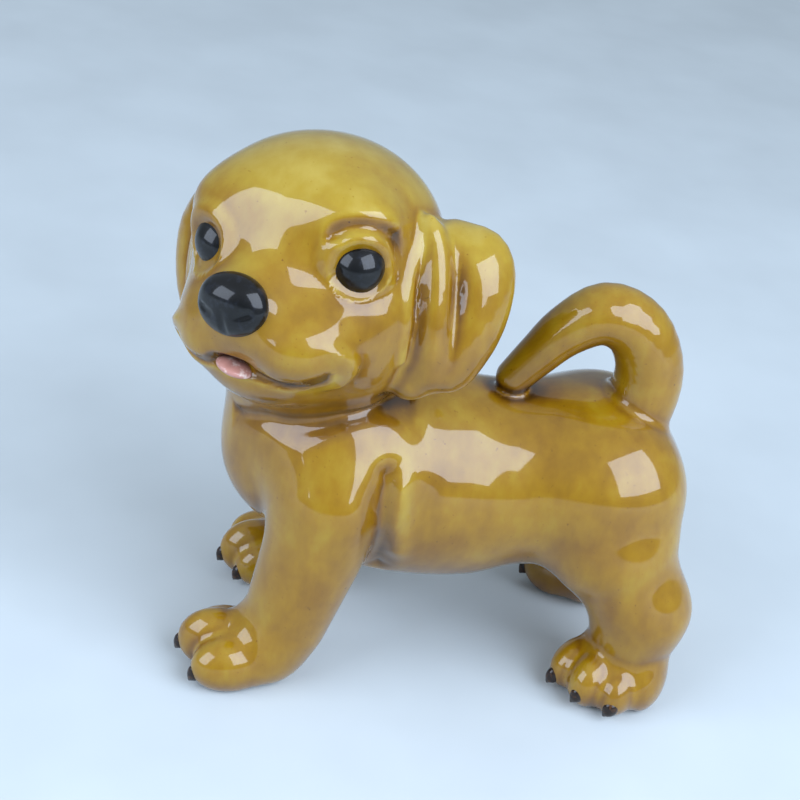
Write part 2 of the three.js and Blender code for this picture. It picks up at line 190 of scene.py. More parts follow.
# ------------------------------------------------------------------------------ the head's axes

HEAD_AT = np.array([1.5, -39.2, 98.8])
HEAD_TURN, HEAD_LIFT, HEAD_TIP = 56.5, 10.5, 9.0
HEAD_AXES = np.array(
    Matrix.Rotation(radians(HEAD_TURN), 3, "Z")
    @ Matrix.Rotation(radians(-HEAD_LIFT), 3, "X")
    @ Matrix.Rotation(radians(-HEAD_TIP), 3, "Y")
)


def into_head(points):
    """Points in the head's axes: X its left, -Y the way it faces, Z up."""
    return (points - HEAD_AT.astype(points.dtype)) @ HEAD_AXES.astype(points.dtype)


EYES = {1: ((18.4, -14.7, 5.2), 34), -1: ((-13.4, -18.3, 5.4), -20)}
EYE_HALF = (5.5, 4.2, 5.7)
NOSE_AT = (-0.6, -32, -3.6)
NOSE_HALF = (8.0, 4.6, 6.6)
TONGUE_AT = (-2.4, -26.6, -18.3)
TONGUE_HALF = (4.2, 4.0, 1.5)
TONGUE_TILT = 18


def turned(points, at, turn):
    """Points in axes at a place, turned about Z by some degrees."""
    c, s = cos(radians(turn)), sin(radians(turn))
    axes = np.array([[c, -s, 0], [s, c, 0], [0, 0, 1]], points.dtype)
    return (points - np.asarray(at, points.dtype)) @ axes


# The lid is a ridge at one radius round the eye and the fold a groove at another. Angles are in
# degrees round the eye, from its outer corner up: where each starts, is full, wanes and ends.
LID_RADIUS, LID_FILLET, LID_SINK, LID_FADE = 6.8, 2.4, 0.75, 2.3
LID_SPAN = (-60, 0, 165, 215)
FOLD_RADIUS, FOLD_WIDTH, FOLD_FILLET, FOLD_LIFT, FOLD_FADE = 8.9, 1.0, 2.6, 0.3, 3.5
FOLD_SPAN = (-36, 4, 124, 160)
AWAY = 20  # a distance that takes a tool's line well clear of the surface


def span(angle, start, full, wane, end):
    return ramp(angle, start, full) * (1 - ramp(angle, wane, end))


def eyelids(face, head_points, side):
    """A padded lid over the eye that thins to a rim below, and the fold over the left one."""
    at, turn = EYES[side]
    e = turned(head_points, at, turn)
    across, up = e[..., 0] * side, e[..., 2]
    radius = np.hypot(across, up)
    angle = np.degrees(np.arctan2(up, across))
    angle = np.where(angle < -100, angle + 360, angle)
    behind = ramp(e[..., 1], 1, 6) * AWAY
    height = TOOLING["lid"]
    lid = np.abs(radius - LID_RADIUS) - height + behind + LID_FADE * (1 - span(angle, *LID_SPAN))
    face = raised(face, lid, height, LID_FILLET, LID_SINK)
    if side > 0:
        fold = np.abs(radius - FOLD_RADIUS) - FOLD_WIDTH + behind + FOLD_FADE * (1 - span(angle, *FOLD_SPAN))
        face = scored(face, fold, FOLD_WIDTH, FOLD_FILLET, FOLD_LIFT)
    return face


# Lines drawn on the front of the face: X, Z and half width.
MOUTH = [
    (-18.0, -14.0, 0.2), (-15.0, -16.6, 0.6), (-9.5, -18.0, 0.9), (-5.8, -16.4, 1.0), (-2.0, -17.0, 1.0),
    (1.8, -18.5, 0.9), (8.7, -20.0, 0.9), (13.0, -19.4, 0.9), (16.6, -17.8, 0.8), (18.6, -16.0, 0.2),
]

# Lines drawn on the side of the head: Y, Z and half width.
LIP_FOLD = [
    (-26.5, -10.6, 0.1), (-24.4, -11.6, 1.0), (-21.6, -13.8, 1.4), (-19.4, -16.8, 1.3),
    (-19.0, -20.0, 0.3),
]
EAR_GROOVE = [
    (1.6, 14.0, 0.1), (0.6, 10.5, 0.6), (-1.4, 6.0, 0.9), (-2.2, -2.0, 1.2), (-1.6, -9.0, 1.5),
    (-0.4, -15.0, 2.0), (2.0, -20.0, 2.0),
]
CHEEK_EDGE = [
    (-1.2, 13.4, 0.2), (-3.0, 9.5, 0.7), (-5.0, 3.0, 0.9), (-5.4, -4.0, 0.9), (-5.2, -11.0, 0.7),
    (-4.6, -16.0, 0.2),
]


# Lumps of the head: place and half sizes, then the width of the join to what is already there.
CRANIUM = ((-0.6, 4, 4), (28.1, 26.5, 25))
FACE_LUMPS = [
    ((0, -3, -9), (26, 21, 16), 8),  # cheeks
    ((1.5, -6.6, 13), (19, 13.8, 12), 9),  # forehead
    ((9.5, -18, -11.6), (12.3, 14, 10.2), 6.5),  # left flew
    ((-8.8, -17.4, -11.2), (11.0, 13.4, 11.2), 8),  # right flew
]
BRIDGE, BRIDGE_JOIN = ((0, -12, 2.4), (0, -26, -4.5), 9.5, 7.5), 7
JAW_LUMPS = [
    ((0, -13, -20), (14.5, 13.5, 8.5), 3),  # chin
    ((9, -2, -17), (15, 14, 12), 6),  # throat
    ((14.8, -12.4, 14.8), (8.2, 6, 4.5), 7),  # left brow
    ((-12.4, -12.4, 13.0), (7.6, 6, 4.2), 10),  # right brow
]
LIP_FOLD_HEIGHT, LIP_FOLD_FILLET, LIP_FOLD_SINK = 1.5, 3.0, 0.6
MOUTH_FILLET = 1.0
MOUTH_GAP, MOUTH_GAP_FILLET = ((-2.4, -28.0, -17.6), (4.7, 3.8, 1.8)), 1.2
CHEEK_EDGE_HEIGHT, CHEEK_EDGE_FILLET, CHEEK_EDGE_SINK = 0.9, 2.0, 0.3
EAR_GROOVE_FILLET, EAR_GROOVE_LIFT = 2.8, 0.3


def both_sides(points):
    """Points with those of the right side moved onto the left."""
    folded = points.copy()
    folded[..., 0] = np.abs(folded[..., 0])
    return folded


def lumps(form, points, rows):
    """A form with ellipsoids joined on one after another."""
    for place, half, fillet in rows:
        form = join(form, ellipsoid(points, place, half), fillet)
    return form


def head_form(points):
    q = into_head(points)
    face = lumps(ellipsoid(q, *CRANIUM), q, FACE_LUMPS)
    face = join(face, round_cone(q, *BRIDGE), BRIDGE_JOIN)
    face = lumps(face, q, JAW_LUMPS)
    folded = both_sides(q)
    inner = (1 - ramp(folded[..., 0], 9, 13)) * AWAY
    for side in (1, -1):
        face = eyelids(face, q, side)
    face = raised(face, drawn(folded, 0, LIP_FOLD) + inner, LIP_FOLD_HEIGHT, LIP_FOLD_FILLET, LIP_FOLD_SINK)
    behind = ramp(q[..., 1], -17, -13) * AWAY
    face = scored(face, drawn(q, 1, MOUTH) + behind, TOOLING["mouth"], MOUTH_FILLET)
    face = press(face, ellipsoid(q, *MOUTH_GAP), MOUTH_GAP_FILLET)
    edge = drawn(folded, 0, CHEEK_EDGE) + inner
    face = raised(face, edge, CHEEK_EDGE_HEIGHT, CHEEK_EDGE_FILLET, CHEEK_EDGE_SINK)
    groove = drawn(folded, 0, EAR_GROOVE) + inner
    return scored(face, groove, TOOLING["ear"], EAR_GROOVE_FILLET, EAR_GROOVE_LIFT)


# Rolls of the left ear from its top down: X, Y, Z and radius.
EAR_RIM = [
    (26.6, 0.6, 14.5, 1.0), (28.8, 0.0, 9.5, 2.0), (30.3, -1.0, 3, 2.5), (30.9, -1.4, -5, 2.8),
    (30.7, -0.8, -12, 2.9), (29.6, 1.4, -18.5, 3.0),
]
EAR_LOBE = [
    (28.0, 6.0, 9.0, 3.0), (34.6, 6.4, 4, 3.8), (36.0, 6.6, -3, 4.4), (34.6, 6.2, -11, 4.6),
    (30.8, 5.0, -18, 4.2),
]
EAR_EDGE = [
    (28.5, 12.5, 9.6, 2.4), (36.0, 12.5, 8.8, 2.6), (39.2, 12.3, 3, 2.6), (37.6, 11.5, -7, 2.8),
    (32.5, 8.5, -17, 3.4),
]
EAR_WEB = [
    (26.4, 1.4, 11, 3.0), (28.4, 0.9, 4, 3.6), (28.8, 0.7, -5, 3.8), (27.8, 0.8, -14, 4.2),
    (25.0, 2.0, -21, 5.0),
]
RIGHT_EAR_TUCK = 2.5


def ear_form(points, side):
    q = into_head(points) * np.array([side, 1, 1], points.dtype)
    if side < 0:
        q = q + np.array([RIGHT_EAR_TUCK, 0, 0], points.dtype)
    flap = roll(q, EAR_LOBE, 3)
    for rows, fillet in ((EAR_EDGE, 11), (EAR_WEB, 4), (EAR_RIM, 2.6)):
        flap = join(flap, roll(q, rows, 3), fillet)
    return flap


# ------------------------------------------------------------------------------ body, legs and tail


# Lines drawn on the left side of the body: Y, Z and half width.
COLLAR = [
    (-54.5, 62.0, 0.2), (-50.5, 65.0, 1.0), (-46.0, 67.4, 1.6), (-41.0, 68.2, 1.8), (-35.0, 70.2, 1.8),
    (-29.5, 72.4, 1.5), (-22.0, 73.2, 1.0), (-15.0, 72.0, 0.2),
]


CHEST = ((0, -17, 48), (23, 27, 25.5))
BODY_LUMPS = [
    ((0, 1, 46.4), (22.5, 28, 25), 8),  # ribs
    ((0, 20, 50), (21.8, 24, 21), 6),  # loin
    ((0, 34.5, 50), (21, 21, 22.5), 10),  # rump
    ((0, -39, 53), (17, 16, 20), 9),  # breast
]
NECK, NECK_JOIN = ((0, -30, 60), (1.5, -39, 78), 19, 19), 8


def torso_form(p):
    trunk = lumps(ellipsoid(p, *CHEST), p, BODY_LUMPS)
    return join(trunk, round_cone(p, *NECK), NECK_JOIN)


# Toes of a left foot, inner to outer, each a place across, ahead and up, half sizes and a turn.
FORE_TOES = [
    (-7.5, -4, 6, 4.5, 8, 6.3, -18), (-2.5, -7.5, 7.4, 5.6, 9, 8.0, -12), (4.8, -4.4, 6, 6.2, 10, 7.2, 8),
]
HIND_TOES = [
    (-7.0, -3.2, 6.4, 5, 8, 6.8, -14), (-1.0, -5.8, 6.6, 5.6, 7.6, 7.2, 0), (5.0, -3.6, 6, 5, 7.5, 6.6, 12),
    (9.0, 2.6, 7.2, 4.6, 7.5, 8.0, 10),
]
FOREFEET = {1: (21, -44, 8), -1: (20, -34.5, 4)}
HINDFOOT = (21, 44.5, 48)


def paw_form(p, foot, toes, wide, long, high):
    """Three toes side by side on a rounded pad."""
    q = turned(p, (foot[0], foot[1], 0), foot[2])
    paw = ellipsoid(q, (0, 3, 7.5), (wide - 0.5, long - 4, high))
    for across, ahead, up, a, b, c, turn in toes:
        toe = turned(q, (across, ahead, up), turn)
        paw = join(paw, ellipsoid(toe, (0, 0, 0), (a, b, c)), TOOLING["toe"])
    return paw


def foreleg_form(p, side):
    p = p * np.array([side, 1, 1], p.dtype)
    foot = FOREFEET[side]
    setback = foot[1] - FOREFEET[1][1]
    arm = join(
        ellipsoid(p, (15, -27, 53), (11, 16, 19)),
        round_cone(p, (18, -29 + setback * 0.3, 48), (20, foot[1] + 8, 16), 13, 10.2), 8,
    )
    return join(arm, paw_form(p, foot, FORE_TOES, 10.5, 15, 9.5), 5)


def hindleg_form(p, side):
    p = p * np.array([side, 1, 1], p.dtype)
    thigh = ellipsoid(p, (13, 37.5, 47), (13, 17, 21))
    thigh = join(thigh, round_cone(p, (16, 41, 38), (19, 49.4, 25), 13, 10), 6)
    shank = join(thigh, round_cone(p, (19, 49.0, 25), (19, 48.2, 11), 10, 9.8), 8)
    return join(shank, paw_form(p, HINDFOOT, HIND_TOES, 10, 13.5, 9), 3)


TAIL = [
    (0, 37, 56, 9), (0, 41.5, 68, 8.6), (0, 42.5, 79.5, 8), (0, 37.5, 89.5, 7.6),
    (0, 29, 93, 7.2), (0, 21, 88, 6), (0, 15.5, 81, 5), (0, 11, 74.5, 4.3),
]

PIECES = {
    "torso": torso_form,
    "head": head_form,
    "left_ear": lambda p: ear_form(p, 1),
    "right_ear": lambda p: ear_form(p, -1),
    "front_left_leg": lambda p: foreleg_form(p, 1),
    "front_right_leg": lambda p: foreleg_form(p, -1),
    "rear_left_leg": lambda p: hindleg_form(p, 1),
    "rear_right_leg": lambda p: hindleg_form(p, -1),
    "tail": lambda p: roll(p, TAIL),
}

SHOULDER = [
    (-19.0, 60.0, 0.1), (-19.5, 52.0, 1.2), (-18.9, 44.0, 1.6), (-17.4, 37.0, 1.3), (-16.0, 31.0, 0.2),
]
RIB = [(-15.0, 58.0, 0.1), (-15.2, 51.0, 1.1), (-14.6, 44.0, 0.9), (-13.6, 38.0, 0.1)]


def luted(forms, points):
    """All the cast pieces joined as one skin, with the slip smoothed in each joint."""
    skin = forms["torso"]
    height = points[..., 2]
    for name in ("front_left_leg", "front_right_leg"):
        skin = join(skin, forms[name], 3 + 6 * ramp(height, 44, 62))
    for name in ("rear_left_leg", "rear_right_leg"):
        skin = join(skin, forms[name], 4 + 6 * ramp(height, 40, 60))
    sides = both_sides(points)
    inner = (1 - ramp(sides[..., 0], 5, 9)) * AWAY
    skin = raised(skin, drawn(sides, 0, RIB) + inner, 1.4, 6.0, 1.7)
    skin = scored(skin, drawn(sides, 0, SHOULDER) + inner, TOOLING["shoulder"] + 0.7, 6.0, 0.8)
    skin = scored(skin, drawn(sides, 0, COLLAR) + inner, TOOLING["collar"], 3.5, 0.6)
    skin = join(skin, forms["tail"], 2)
    head = forms["head"]
    for name in ("left_ear", "right_ear"):
        head = join(head, forms[name], 2.4)
    skin = join(skin, head, TOOLING["lute"])
    return press(skin, height, 1.0)


def fused(points):
    return luted({name: form(points) for name, form in PIECES.items()}, points)


def eye_form(points):
    """A domed eye with the swell of its cornea, in the eye's own axes."""
    cornea = ellipsoid(points, (0, -0.7, 0.2), (4.3, 3.8, 4.4))
    return join(ellipsoid(points, (0, 0, 0), EYE_HALF), cornea, 1.6)


def nose_form(points):
    """A broad nose pad with two nostrils and the groove that runs down to the lip."""
    pad = join(ellipsoid(points, (0, 0, 0), NOSE_HALF), ellipsoid(points, (0, -0.3, 2.2), (6.2, 4.4, 3.9)), 2)
    for side in (1, -1):
        nostril = round_cone(points, (3.4 * side, -5.0, -1.6), (5.6 * side, -3.6, -0.6), 1.0, 0.6)
        pad = press(pad, nostril, 0.9)
    return press(pad, round_cone(points, (0, -5.4, -1.0), (0, -2.6, -6.9), 0.5, 0.7), 0.9)


def tongue_form(points):
    """The tip of a tongue with a shallow furrow along it."""
    tip = ellipsoid(points, (0, 0, 0), TONGUE_HALF)
    return press(tip, round_cone(points, (0, -4.4, 1.9), (0, 3.0, 2.4), 0.8, 0.8), 0.8)


CLAW_HALF = (1.5, 1.9, 2.2)


def claw_form(points):
    """A blunt claw: an almond swelling with a point that turns down."""
    almond = ellipsoid(points, (0, 0, 0.2), CLAW_HALF)
    return join(almond, round_cone(points, (0, -0.6, -0.8), (0, -1.3, -2.0), 0.9, 0.35), 1.0)


# ------------------------------------------------------------------------------ skins


def slope(field, points, reach=0.1):
    corners = np.array([[1, -1, -1], [-1, -1, 1], [-1, 1, -1], [1, 1, 1]], float)
    return sum(corner * field(points + corner * reach)[:, None] for corner in corners) / (4 * reach)


def settle(field, points, turns, reach):
    """Draws points onto the zero of a field."""
    for _ in range(turns):
        lean = slope(field, points)
        depth = field(points) / np.maximum((lean**2).sum(-1), 0.25)
        points = points - np.clip(depth, -reach, reach)[:, None] * lean
    return points


def skin_of(field, low, high, step):
    """Square faces round a field's inside, looked for only near its surface."""
    block = 4
    low = np.asarray(low, float)
    blocks = np.ceil((np.asarray(high, float) - low) / (step * block)).astype(int)
    axes = [low[i] + (np.arange(blocks[i]) + 0.5) * step * block for i in range(3)]
    middles = np.stack(np.meshgrid(*axes, indexing="ij"), -1)
    rough = field(middles.reshape(-1, 3).astype(np.float32)).reshape(blocks)
    depth = np.repeat(np.repeat(np.repeat(rough, block, 0), block, 1), block, 2).astype(np.float32)
    near = np.argwhere(np.abs(rough) < step * block * 1.5)
    inner = np.stack(np.meshgrid(*[np.arange(block)] * 3, indexing="ij"), -1).reshape(-1, 3)
    cells = (near[:, None, :] * block + inner[None]).reshape(-1, 3)
    places = (low + (cells + 0.5) * step).astype(np.float32)
    depth[cells[:, 0], cells[:, 1], cells[:, 2]] = field(places)
    grid = openvdb.FloatGrid(background=step * block)
    grid.copyFromArray(np.ascontiguousarray(depth))
    points, faces = grid.convertToQuads(isovalue=0.0)
    points = low + (points.astype(float) + 0.5) * step
    return settle(field, points, 3, step), faces.astype(int)


casting = {}


def cast(step):
    """Casts the whole skin once for these tool depths and sorts its faces into the pieces."""
    recipe = (step, *TOOLING.values())
    if casting.get("recipe") == recipe:
        return casting
    points, faces = skin_of(fused, (-44, -74, -4), (44, 64, 130), step)
    forms = {name: form(points) for name, form in PIECES.items()}
    nearest = np.argmin(np.stack([forms[name] for name in PIECES], 1), 1)
    share = np.sort(nearest[faces], 1)[:, 1]
    lean = slope(fused, points)
    normals = lean / np.linalg.norm(lean, axis=1)[:, None]
    casting.update(recipe=recipe, points=points, faces=faces, share=share, normals=normals)
    # Painted light: the top of the head is painted paler, as a reflection, and faces that turn down are
    # painted darker, as shade.
    crown_sheen = ramp(normals[:, 2], 0.2, 0.95) * ramp(points[:, 2], 92, 122)
    casting["crown_sheen_under_shade"] = crown_sheen - 0.7 * ramp(-normals[:, 2], -0.15, 0.75)
    # How far each point lies in a fine crease or a broad hollow, or on a ridge. The glaze is darker in
    # creases and hollows, partly as real pooled glaze and partly as painted shade, and paler on ridges where
    # it runs thin.
    for name, reach in (("crease", 1.2), ("hollow", 4.0)):
        casting[name] = np.clip(1 - fused(points + normals * reach) / reach, 0, 2)
        casting[name + "_out"] = np.clip(1 + fused(points - normals * reach) / reach, 0, 2)
    return casting


def rim_loops(faces):
    """The loops of points round the open edges of some faces, in the order that closes them."""
    after = np.roll(faces, -1, 1)
    sides = set(zip(faces.ravel().tolist(), after.ravel().tolist()))
    onward = {}
    for a, b in sides:
        if (b, a) not in sides:
            onward.setdefault(b, []).append(a)
    loops = []
    while onward:
        start = next(iter(onward))
        loop, here = [], start
        while here in onward:
            loop.append(here)
            ways = onward[here]
            there = ways.pop()
            if not ways:
                del onward[here]
            here = there
        loops.append(loop)
    return loops


# A piece's open edge turns in by the lip, and what closes it lies at least this deep in the clay.
JOINT_LIP = 1.2
JOINT_DEPTH = JOINT_LIP * 2


def piece_mesh(name, step):
    """One piece of the casting, closed inside its joints."""
    whole = cast(step)
    mine = whole["faces"][whole["share"] == list(PIECES).index(name)]
    used, faces = np.unique(mine, return_inverse=True)
    faces = faces.reshape(mine.shape)
    points, normals = whole["points"][used], whole["normals"][used]
    verts, leans, caps = [points], [normals], []
    count = len(points)
    for loop in rim_loops(faces):
        inset = points[loop] - normals[loop] * JOINT_LIP
        middle = inset.mean(0)[None]
        if fused(middle)[0] > -JOINT_DEPTH:
            middle = settle(lambda p: fused(p) + JOINT_DEPTH, middle, 4, 20)
        size = len(loop)
        for i in range(size):
            j = (i + 1) % size
            caps.append((loop[i], loop[j], count + j, count + i))
            caps.append((count + i, count + j, count + size))
        verts += [inset, middle]
        leans += [normals[loop], [[0, 0, 1]]]
        count += size + 1
    verts, leans = np.vstack(verts), np.vstack(leans)
    mesh = bpy.data.meshes.new(name)
    mesh.from_pydata(to_frame(verts).tolist(), [], faces.tolist() + caps)
    mesh.update()
    mesh.polygons.foreach_set("use_smooth", np.ones(len(mesh.polygons), bool))
    mesh.normals_split_custom_set_from_vertices(leans.tolist())
    # These carry the glaze's pooling and thinning to the shader, together with the painted shade in creases,
    # hollows and on the undersides and the painted reflection on the crown.
    for key in ("crease", "hollow", "crease_out", "hollow_out", "crown_sheen_under_shade"):
        layer = mesh.attributes.new(key, "FLOAT", "POINT")
        value = np.zeros(len(verts), np.float32)
        value[:len(used)] = whole[key][used]
        layer.data.foreach_set("value", value)
    return mesh


SMALL_STEP = 0.35


def small_mesh(name, form, half, pose):
    """A small piece cast from its own form, then stood in the frame by a pose in millimetres."""
    reach = np.array(half) + 1.0
    points, faces = skin_of(form, -reach, reach, SMALL_STEP)
    leans = slope(form, points, 0.05)
    turn = np.array(pose.to_3x3())
    points = points @ turn.T + np.array(pose.translation)
    mesh = bpy.data.meshes.new(name)
    mesh.from_pydata(to_frame(points).tolist(), [], faces.tolist())
    mesh.update()
    mesh.polygons.foreach_set("use_smooth", np.ones(len(mesh.polygons), bool))
    leans = leans @ turn.T
    mesh.normals_split_custom_set_from_vertices((leans / np.linalg.norm(leans, axis=1)[:, None]).tolist())
    return mesh


# ------------------------------------------------------------------------------ glazes


def linear(code):
    """A colour written as sRGB hex, as linear red, green, blue and alpha."""
    parts = [((code >> shift) & 255) / 255 for shift in (16, 8, 0)]
    return (*[c / 12.92 if c <= 0.04045 else ((c + 0.055) / 1.055) ** 2.4 for c in parts], 1.0)


def add(tree, kind, links=(), **settings):
    """Adds a shader node with its settings, and links (from node's output) into its inputs."""
    made = tree.nodes.new(kind)
    for key, value in settings.items():
        if key.startswith("in_"):
            made.inputs[int(key[3:])].default_value = value
        else:
            setattr(made, key, value)
    for target, source, output in links:
        tree.links.new(source.outputs[output], made.inputs[target])
    return made


def glossy(shader, rough, coat_rough, cover=1.0):
    """Sets a shader up as a fired body under a clear glaze, whose index is that of lead-free
    glass, 1.52."""
    shader.inputs["Roughness"].default_value = rough
    shader.inputs["Specular IOR Level"].default_value = 0.12
    shader.inputs["Coat Weight"].default_value = cover
    shader.inputs["Coat Roughness"].default_value = coat_rough
    shader.inputs["Coat IOR"].default_value = 1.52


def shade(tree, fill, *bands):
    """A colour ramp over a value, from bands of place and linear colour."""
    ramped = add(tree, "ShaderNodeValToRGB", [(0, fill, 0)])
    while len(ramped.color_ramp.elements) < len(bands):
        ramped.color_ramp.elements.new(0.5)
    for element, (at, colour) in zip(ramped.color_ramp.elements, bands):
        element.position = at
        element.color = (*colour[:3], 1.0)
    return ramped


def per_mm(size):
    """The scale at which a noise's features are that many millimetres across."""
    return 1.0 / (size * MM)


def amber_glazed_earthenware(glazes):
    """Slip-cast earthenware dipped in a clear amber glaze. The glaze runs thin on edges, so the pale
    clay shows there, and it pools brown in creases. Creases and hollows are also darkened as
    painted shade, the crown is painted paler as a reflection and the undersides darker as shade.
    Fired, it is as smooth as window glass over a faintly uneven body."""
    material = bpy.data.materials.new("amber_glazed_earthenware")
    material.use_nodes = True
    tree = material.node_tree
    shader = tree.nodes["Principled BSDF"]
    place = add(tree, "ShaderNodeTexCoord")
    # Clouds are the uneven dip, 16 mm across, streaks its runs, 4.5 mm wide and drawn out
    # downwards, and specks the iron spots of the clay, 0.9 mm.
    clouds = add(tree, "ShaderNodeTexNoise", [(0, place, "Object")], in_2=per_mm(16), in_3=3.0, in_4=0.55)
    drawn_out = add(tree, "ShaderNodeMapping", [(0, place, "Object")], in_3=(1.0, 1.0, 0.45))
    streaks = add(tree, "ShaderNodeTexNoise", [(0, drawn_out, 0)], in_2=per_mm(4.5), in_3=4.0, in_4=0.6)
    specks = add(tree, "ShaderNodeTexNoise", [(0, place, "Object")], in_2=per_mm(0.9), in_3=2.0, in_4=0.5)
    kept = {}
    for key in ("crease", "hollow", "crease_out", "hollow_out", "crown_sheen_under_shade"):
        kept[key] = add(tree, "ShaderNodeAttribute", attribute_name=key)
    # Each line is what moves the glaze's depth: its source, the values it works between and how
    # much deeper the glaze is at the second. The crease and hollow lines are partly real pooling and
    # partly painted shade. The last line is painted light only: a paler crown as a painted reflection
    # and darker undersides as painted shade.
    weights = [
        (clouds, 0, 0.32, 0.68, 0.34), (streaks, 0, 0.32, 0.68, 0.20), (specks, 0, 0.70, 0.78, 0.45),
        (kept["crease"], "Fac", 0.02, 0.6, 0.55), (kept["hollow"], "Fac", 0.05, 0.9, 0.50),
        (kept["crease_out"], "Fac", 0.05, 0.5, -0.45), (kept["hollow_out"], "Fac", 0.05, 0.6, -0.12),
        (kept["crown_sheen_under_shade"], "Fac", -1.0, 1.0, -0.84),
    ]
    glaze_and_painted_light = None
    for source, output, low, high, amount in weights:
        share = add(
            tree, "ShaderNodeMapRange", [(0, source, output)], in_1=low, in_2=high, in_3=0.0, in_4=amount)
        if glaze_and_painted_light is None:
            glaze_and_painted_light = share
        else:
            glaze_and_painted_light = add(tree, "ShaderNodeMath", [(0, glaze_and_painted_light, 0), (1, share, 0)], operation="ADD")
    depth = add(tree, "ShaderNodeMapRange", [(0, glaze_and_painted_light, 0)], in_1=-0.87, in_2=0.83, clamp=True)
    glaze = shade(
        tree, depth, (0.0, glazes.bare), (0.2, glazes.thin), (0.42, glazes.even), (0.62, glazes.deep),
        (0.82, glazes.pooled), (1.0, glazes.dark),
    )
    tree.links.new(glaze.outputs[0], shader.inputs["Base Color"])
    swell = add(tree, "ShaderNodeTexNoise", [(0, place, "Object")], in_2=per_mm(9), in_3=2.0, in_4=0.4)
    bump = add(tree, "ShaderNodeBump", [(2, swell, 0)])
    bump.inputs["Strength"].default_value = 0.10
    bump.inputs["Distance"].default_value = 0.4 * MM
    for name in ("Normal", "Coat Normal"):
        tree.links.new(bump.outputs[0], shader.inputs[name])
    glossy(shader, 0.38, 0.05)
    shader.inputs["Subsurface Weight"].default_value = 0.10
    shader.inputs["Subsurface Radius"].default_value = (1.6, 0.9, 0.3)
    shader.inputs["Subsurface Scale"].default_value = 1.0 * MM
    return material


def brushed_glaze(name, thin, thick, patch, rough):
    """A coloured glaze put on with a brush over the fired body. It is mottled where strokes
    overlap, in patches this many millimetres across, and its surface ripples with them."""
    material = bpy.data.materials.new(name)
    material.use_nodes = True
    tree = material.node_tree
    shader = tree.nodes["Principled BSDF"]
    place = add(tree, "ShaderNodeTexCoord")
    mottle = add(tree, "ShaderNodeTexNoise", [(0, place, "Object")], in_2=per_mm(patch), in_3=4.0, in_4=0.62)
    spread = add(tree, "ShaderNodeMapRange", [(0, mottle, 0)], in_1=0.38, in_2=0.64, clamp=True)
    colour = shade(tree, spread, (0.0, thick), (0.55, thick), (1.0, thin))
    tree.links.new(colour.outputs[0], shader.inputs["Base Color"])
    bump = add(tree, "ShaderNodeBump", [(2, mottle, 0)])
    bump.inputs["Strength"].default_value = 0.35
    bump.inputs["Distance"].default_value = 0.12 * MM
    for socket in ("Normal", "Coat Normal"):
        tree.links.new(bump.outputs[0], shader.inputs[socket])
    glossy(shader, rough, 0.09, 0.6)
    return material


def gloss_black_glaze(glazes):
    """Manganese black glaze, brushed: near black, with a grey bloom where it is thin."""
    return brushed_glaze("gloss_black_glaze", glazes.black_bloom, glazes.black, 1.8, 0.45)


def pink_underglaze(glazes):
    """Pink stain under clear glaze, redder where the brush left more."""
    return brushed_glaze("pink_underglaze", glazes.tongue, glazes.tongue_deep, 2.4, 0.4)


def iron_brown_glaze(glazes):
    """Iron glaze dabbed on each claw: dark brown that breaks lighter in patches."""
    return brushed_glaze("iron_brown_glaze", glazes.claw_edge, glazes.claw, 1.2, 0.4)


def matt_paper(stage):
    """Seamless studio paper, matt, with the faint clouding of its pulp, drawn 60 mm across so
    that it shows."""
    material = bpy.data.materials.new("matt_paper")
    material.use_nodes = True
    tree = material.node_tree
    shader = tree.nodes["Principled BSDF"]
    place = add(tree, "ShaderNodeTexCoord")
    pulp = add(tree, "ShaderNodeTexNoise", [(0, place, "Object")], in_2=per_mm(60), in_3=3.0, in_4=0.5)
    # The darker tone is the paper's own random clouding, not shade.
    darker_pulp = [part * 0.93 for part in stage.floor[:3]]
    colour = shade(tree, pulp, (0.35, darker_pulp), (0.65, stage.floor))
    tree.links.new(colour.outputs[0], shader.inputs["Base Color"])
    shader.inputs["Roughness"].default_value = 0.7
    return material


def glazed(maker):
    """The material that a maker makes, made once."""
    glazes = bpy.context.scene.puppy_glazes
    return bpy.data.materials.get(maker.__name__) or maker(glazes)


def show(name, mesh, material, slot, *nodes):
    """Stands a piece in the scene in place of its CAD nodes."""
    if not len(mesh.polygons):
        raise RuntimeError(f"{name} came out empty")
    thing = bpy.data.objects.new(name, mesh)
    bpy.context.scene.collection.objects.link(thing)
    mesh.materials.append(material)
    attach(thing, "root")
    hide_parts(*nodes)
    return thing


# The width of the cells that the skin is cast on, in millimetres.
STEP = 0.8


def show_cast(*names):
    """Stands cast pieces in the scene under the amber glaze."""
    tools = bpy.context.scene.puppy_tools
    for key in TOOLING:
        TOOLING[key] = round(getattr(tools, key) / MM, 3)
    for name in names:
        show("glazed_" + name, piece_mesh(name, STEP), glazed(amber_glazed_earthenware), "honey_glaze", name)


def head_pose(at, turn=0.0, tilt=0.0):
    """A pose in the casting for a small piece at a place in the head's axes."""
    head = Matrix(HEAD_AXES.tolist()).to_4x4()
    head.translation = Vector(HEAD_AT)
    turned_by = Matrix.Rotation(radians(turn), 4, "Z") @ Matrix.Rotation(radians(tilt), 4, "Y")
    return head @ Matrix.Translation(Vector(at)) @ turned_by


# ------------------------------------------------------------------------------ settings


def depth_setting(name, about, key, most):
    return FloatProperty(name=name, description=about, default=TOOLING[key] * MM, min=0.2 * MM, max=most * MM,
                         subtype="DISTANCE", unit="LENGTH", precision=4)


def colour_setting(name, about, code):
    return FloatVectorProperty(name=name, description=about, default=linear(code), size=4, min=0.0, max=1.0,
                               subtype="COLOR")


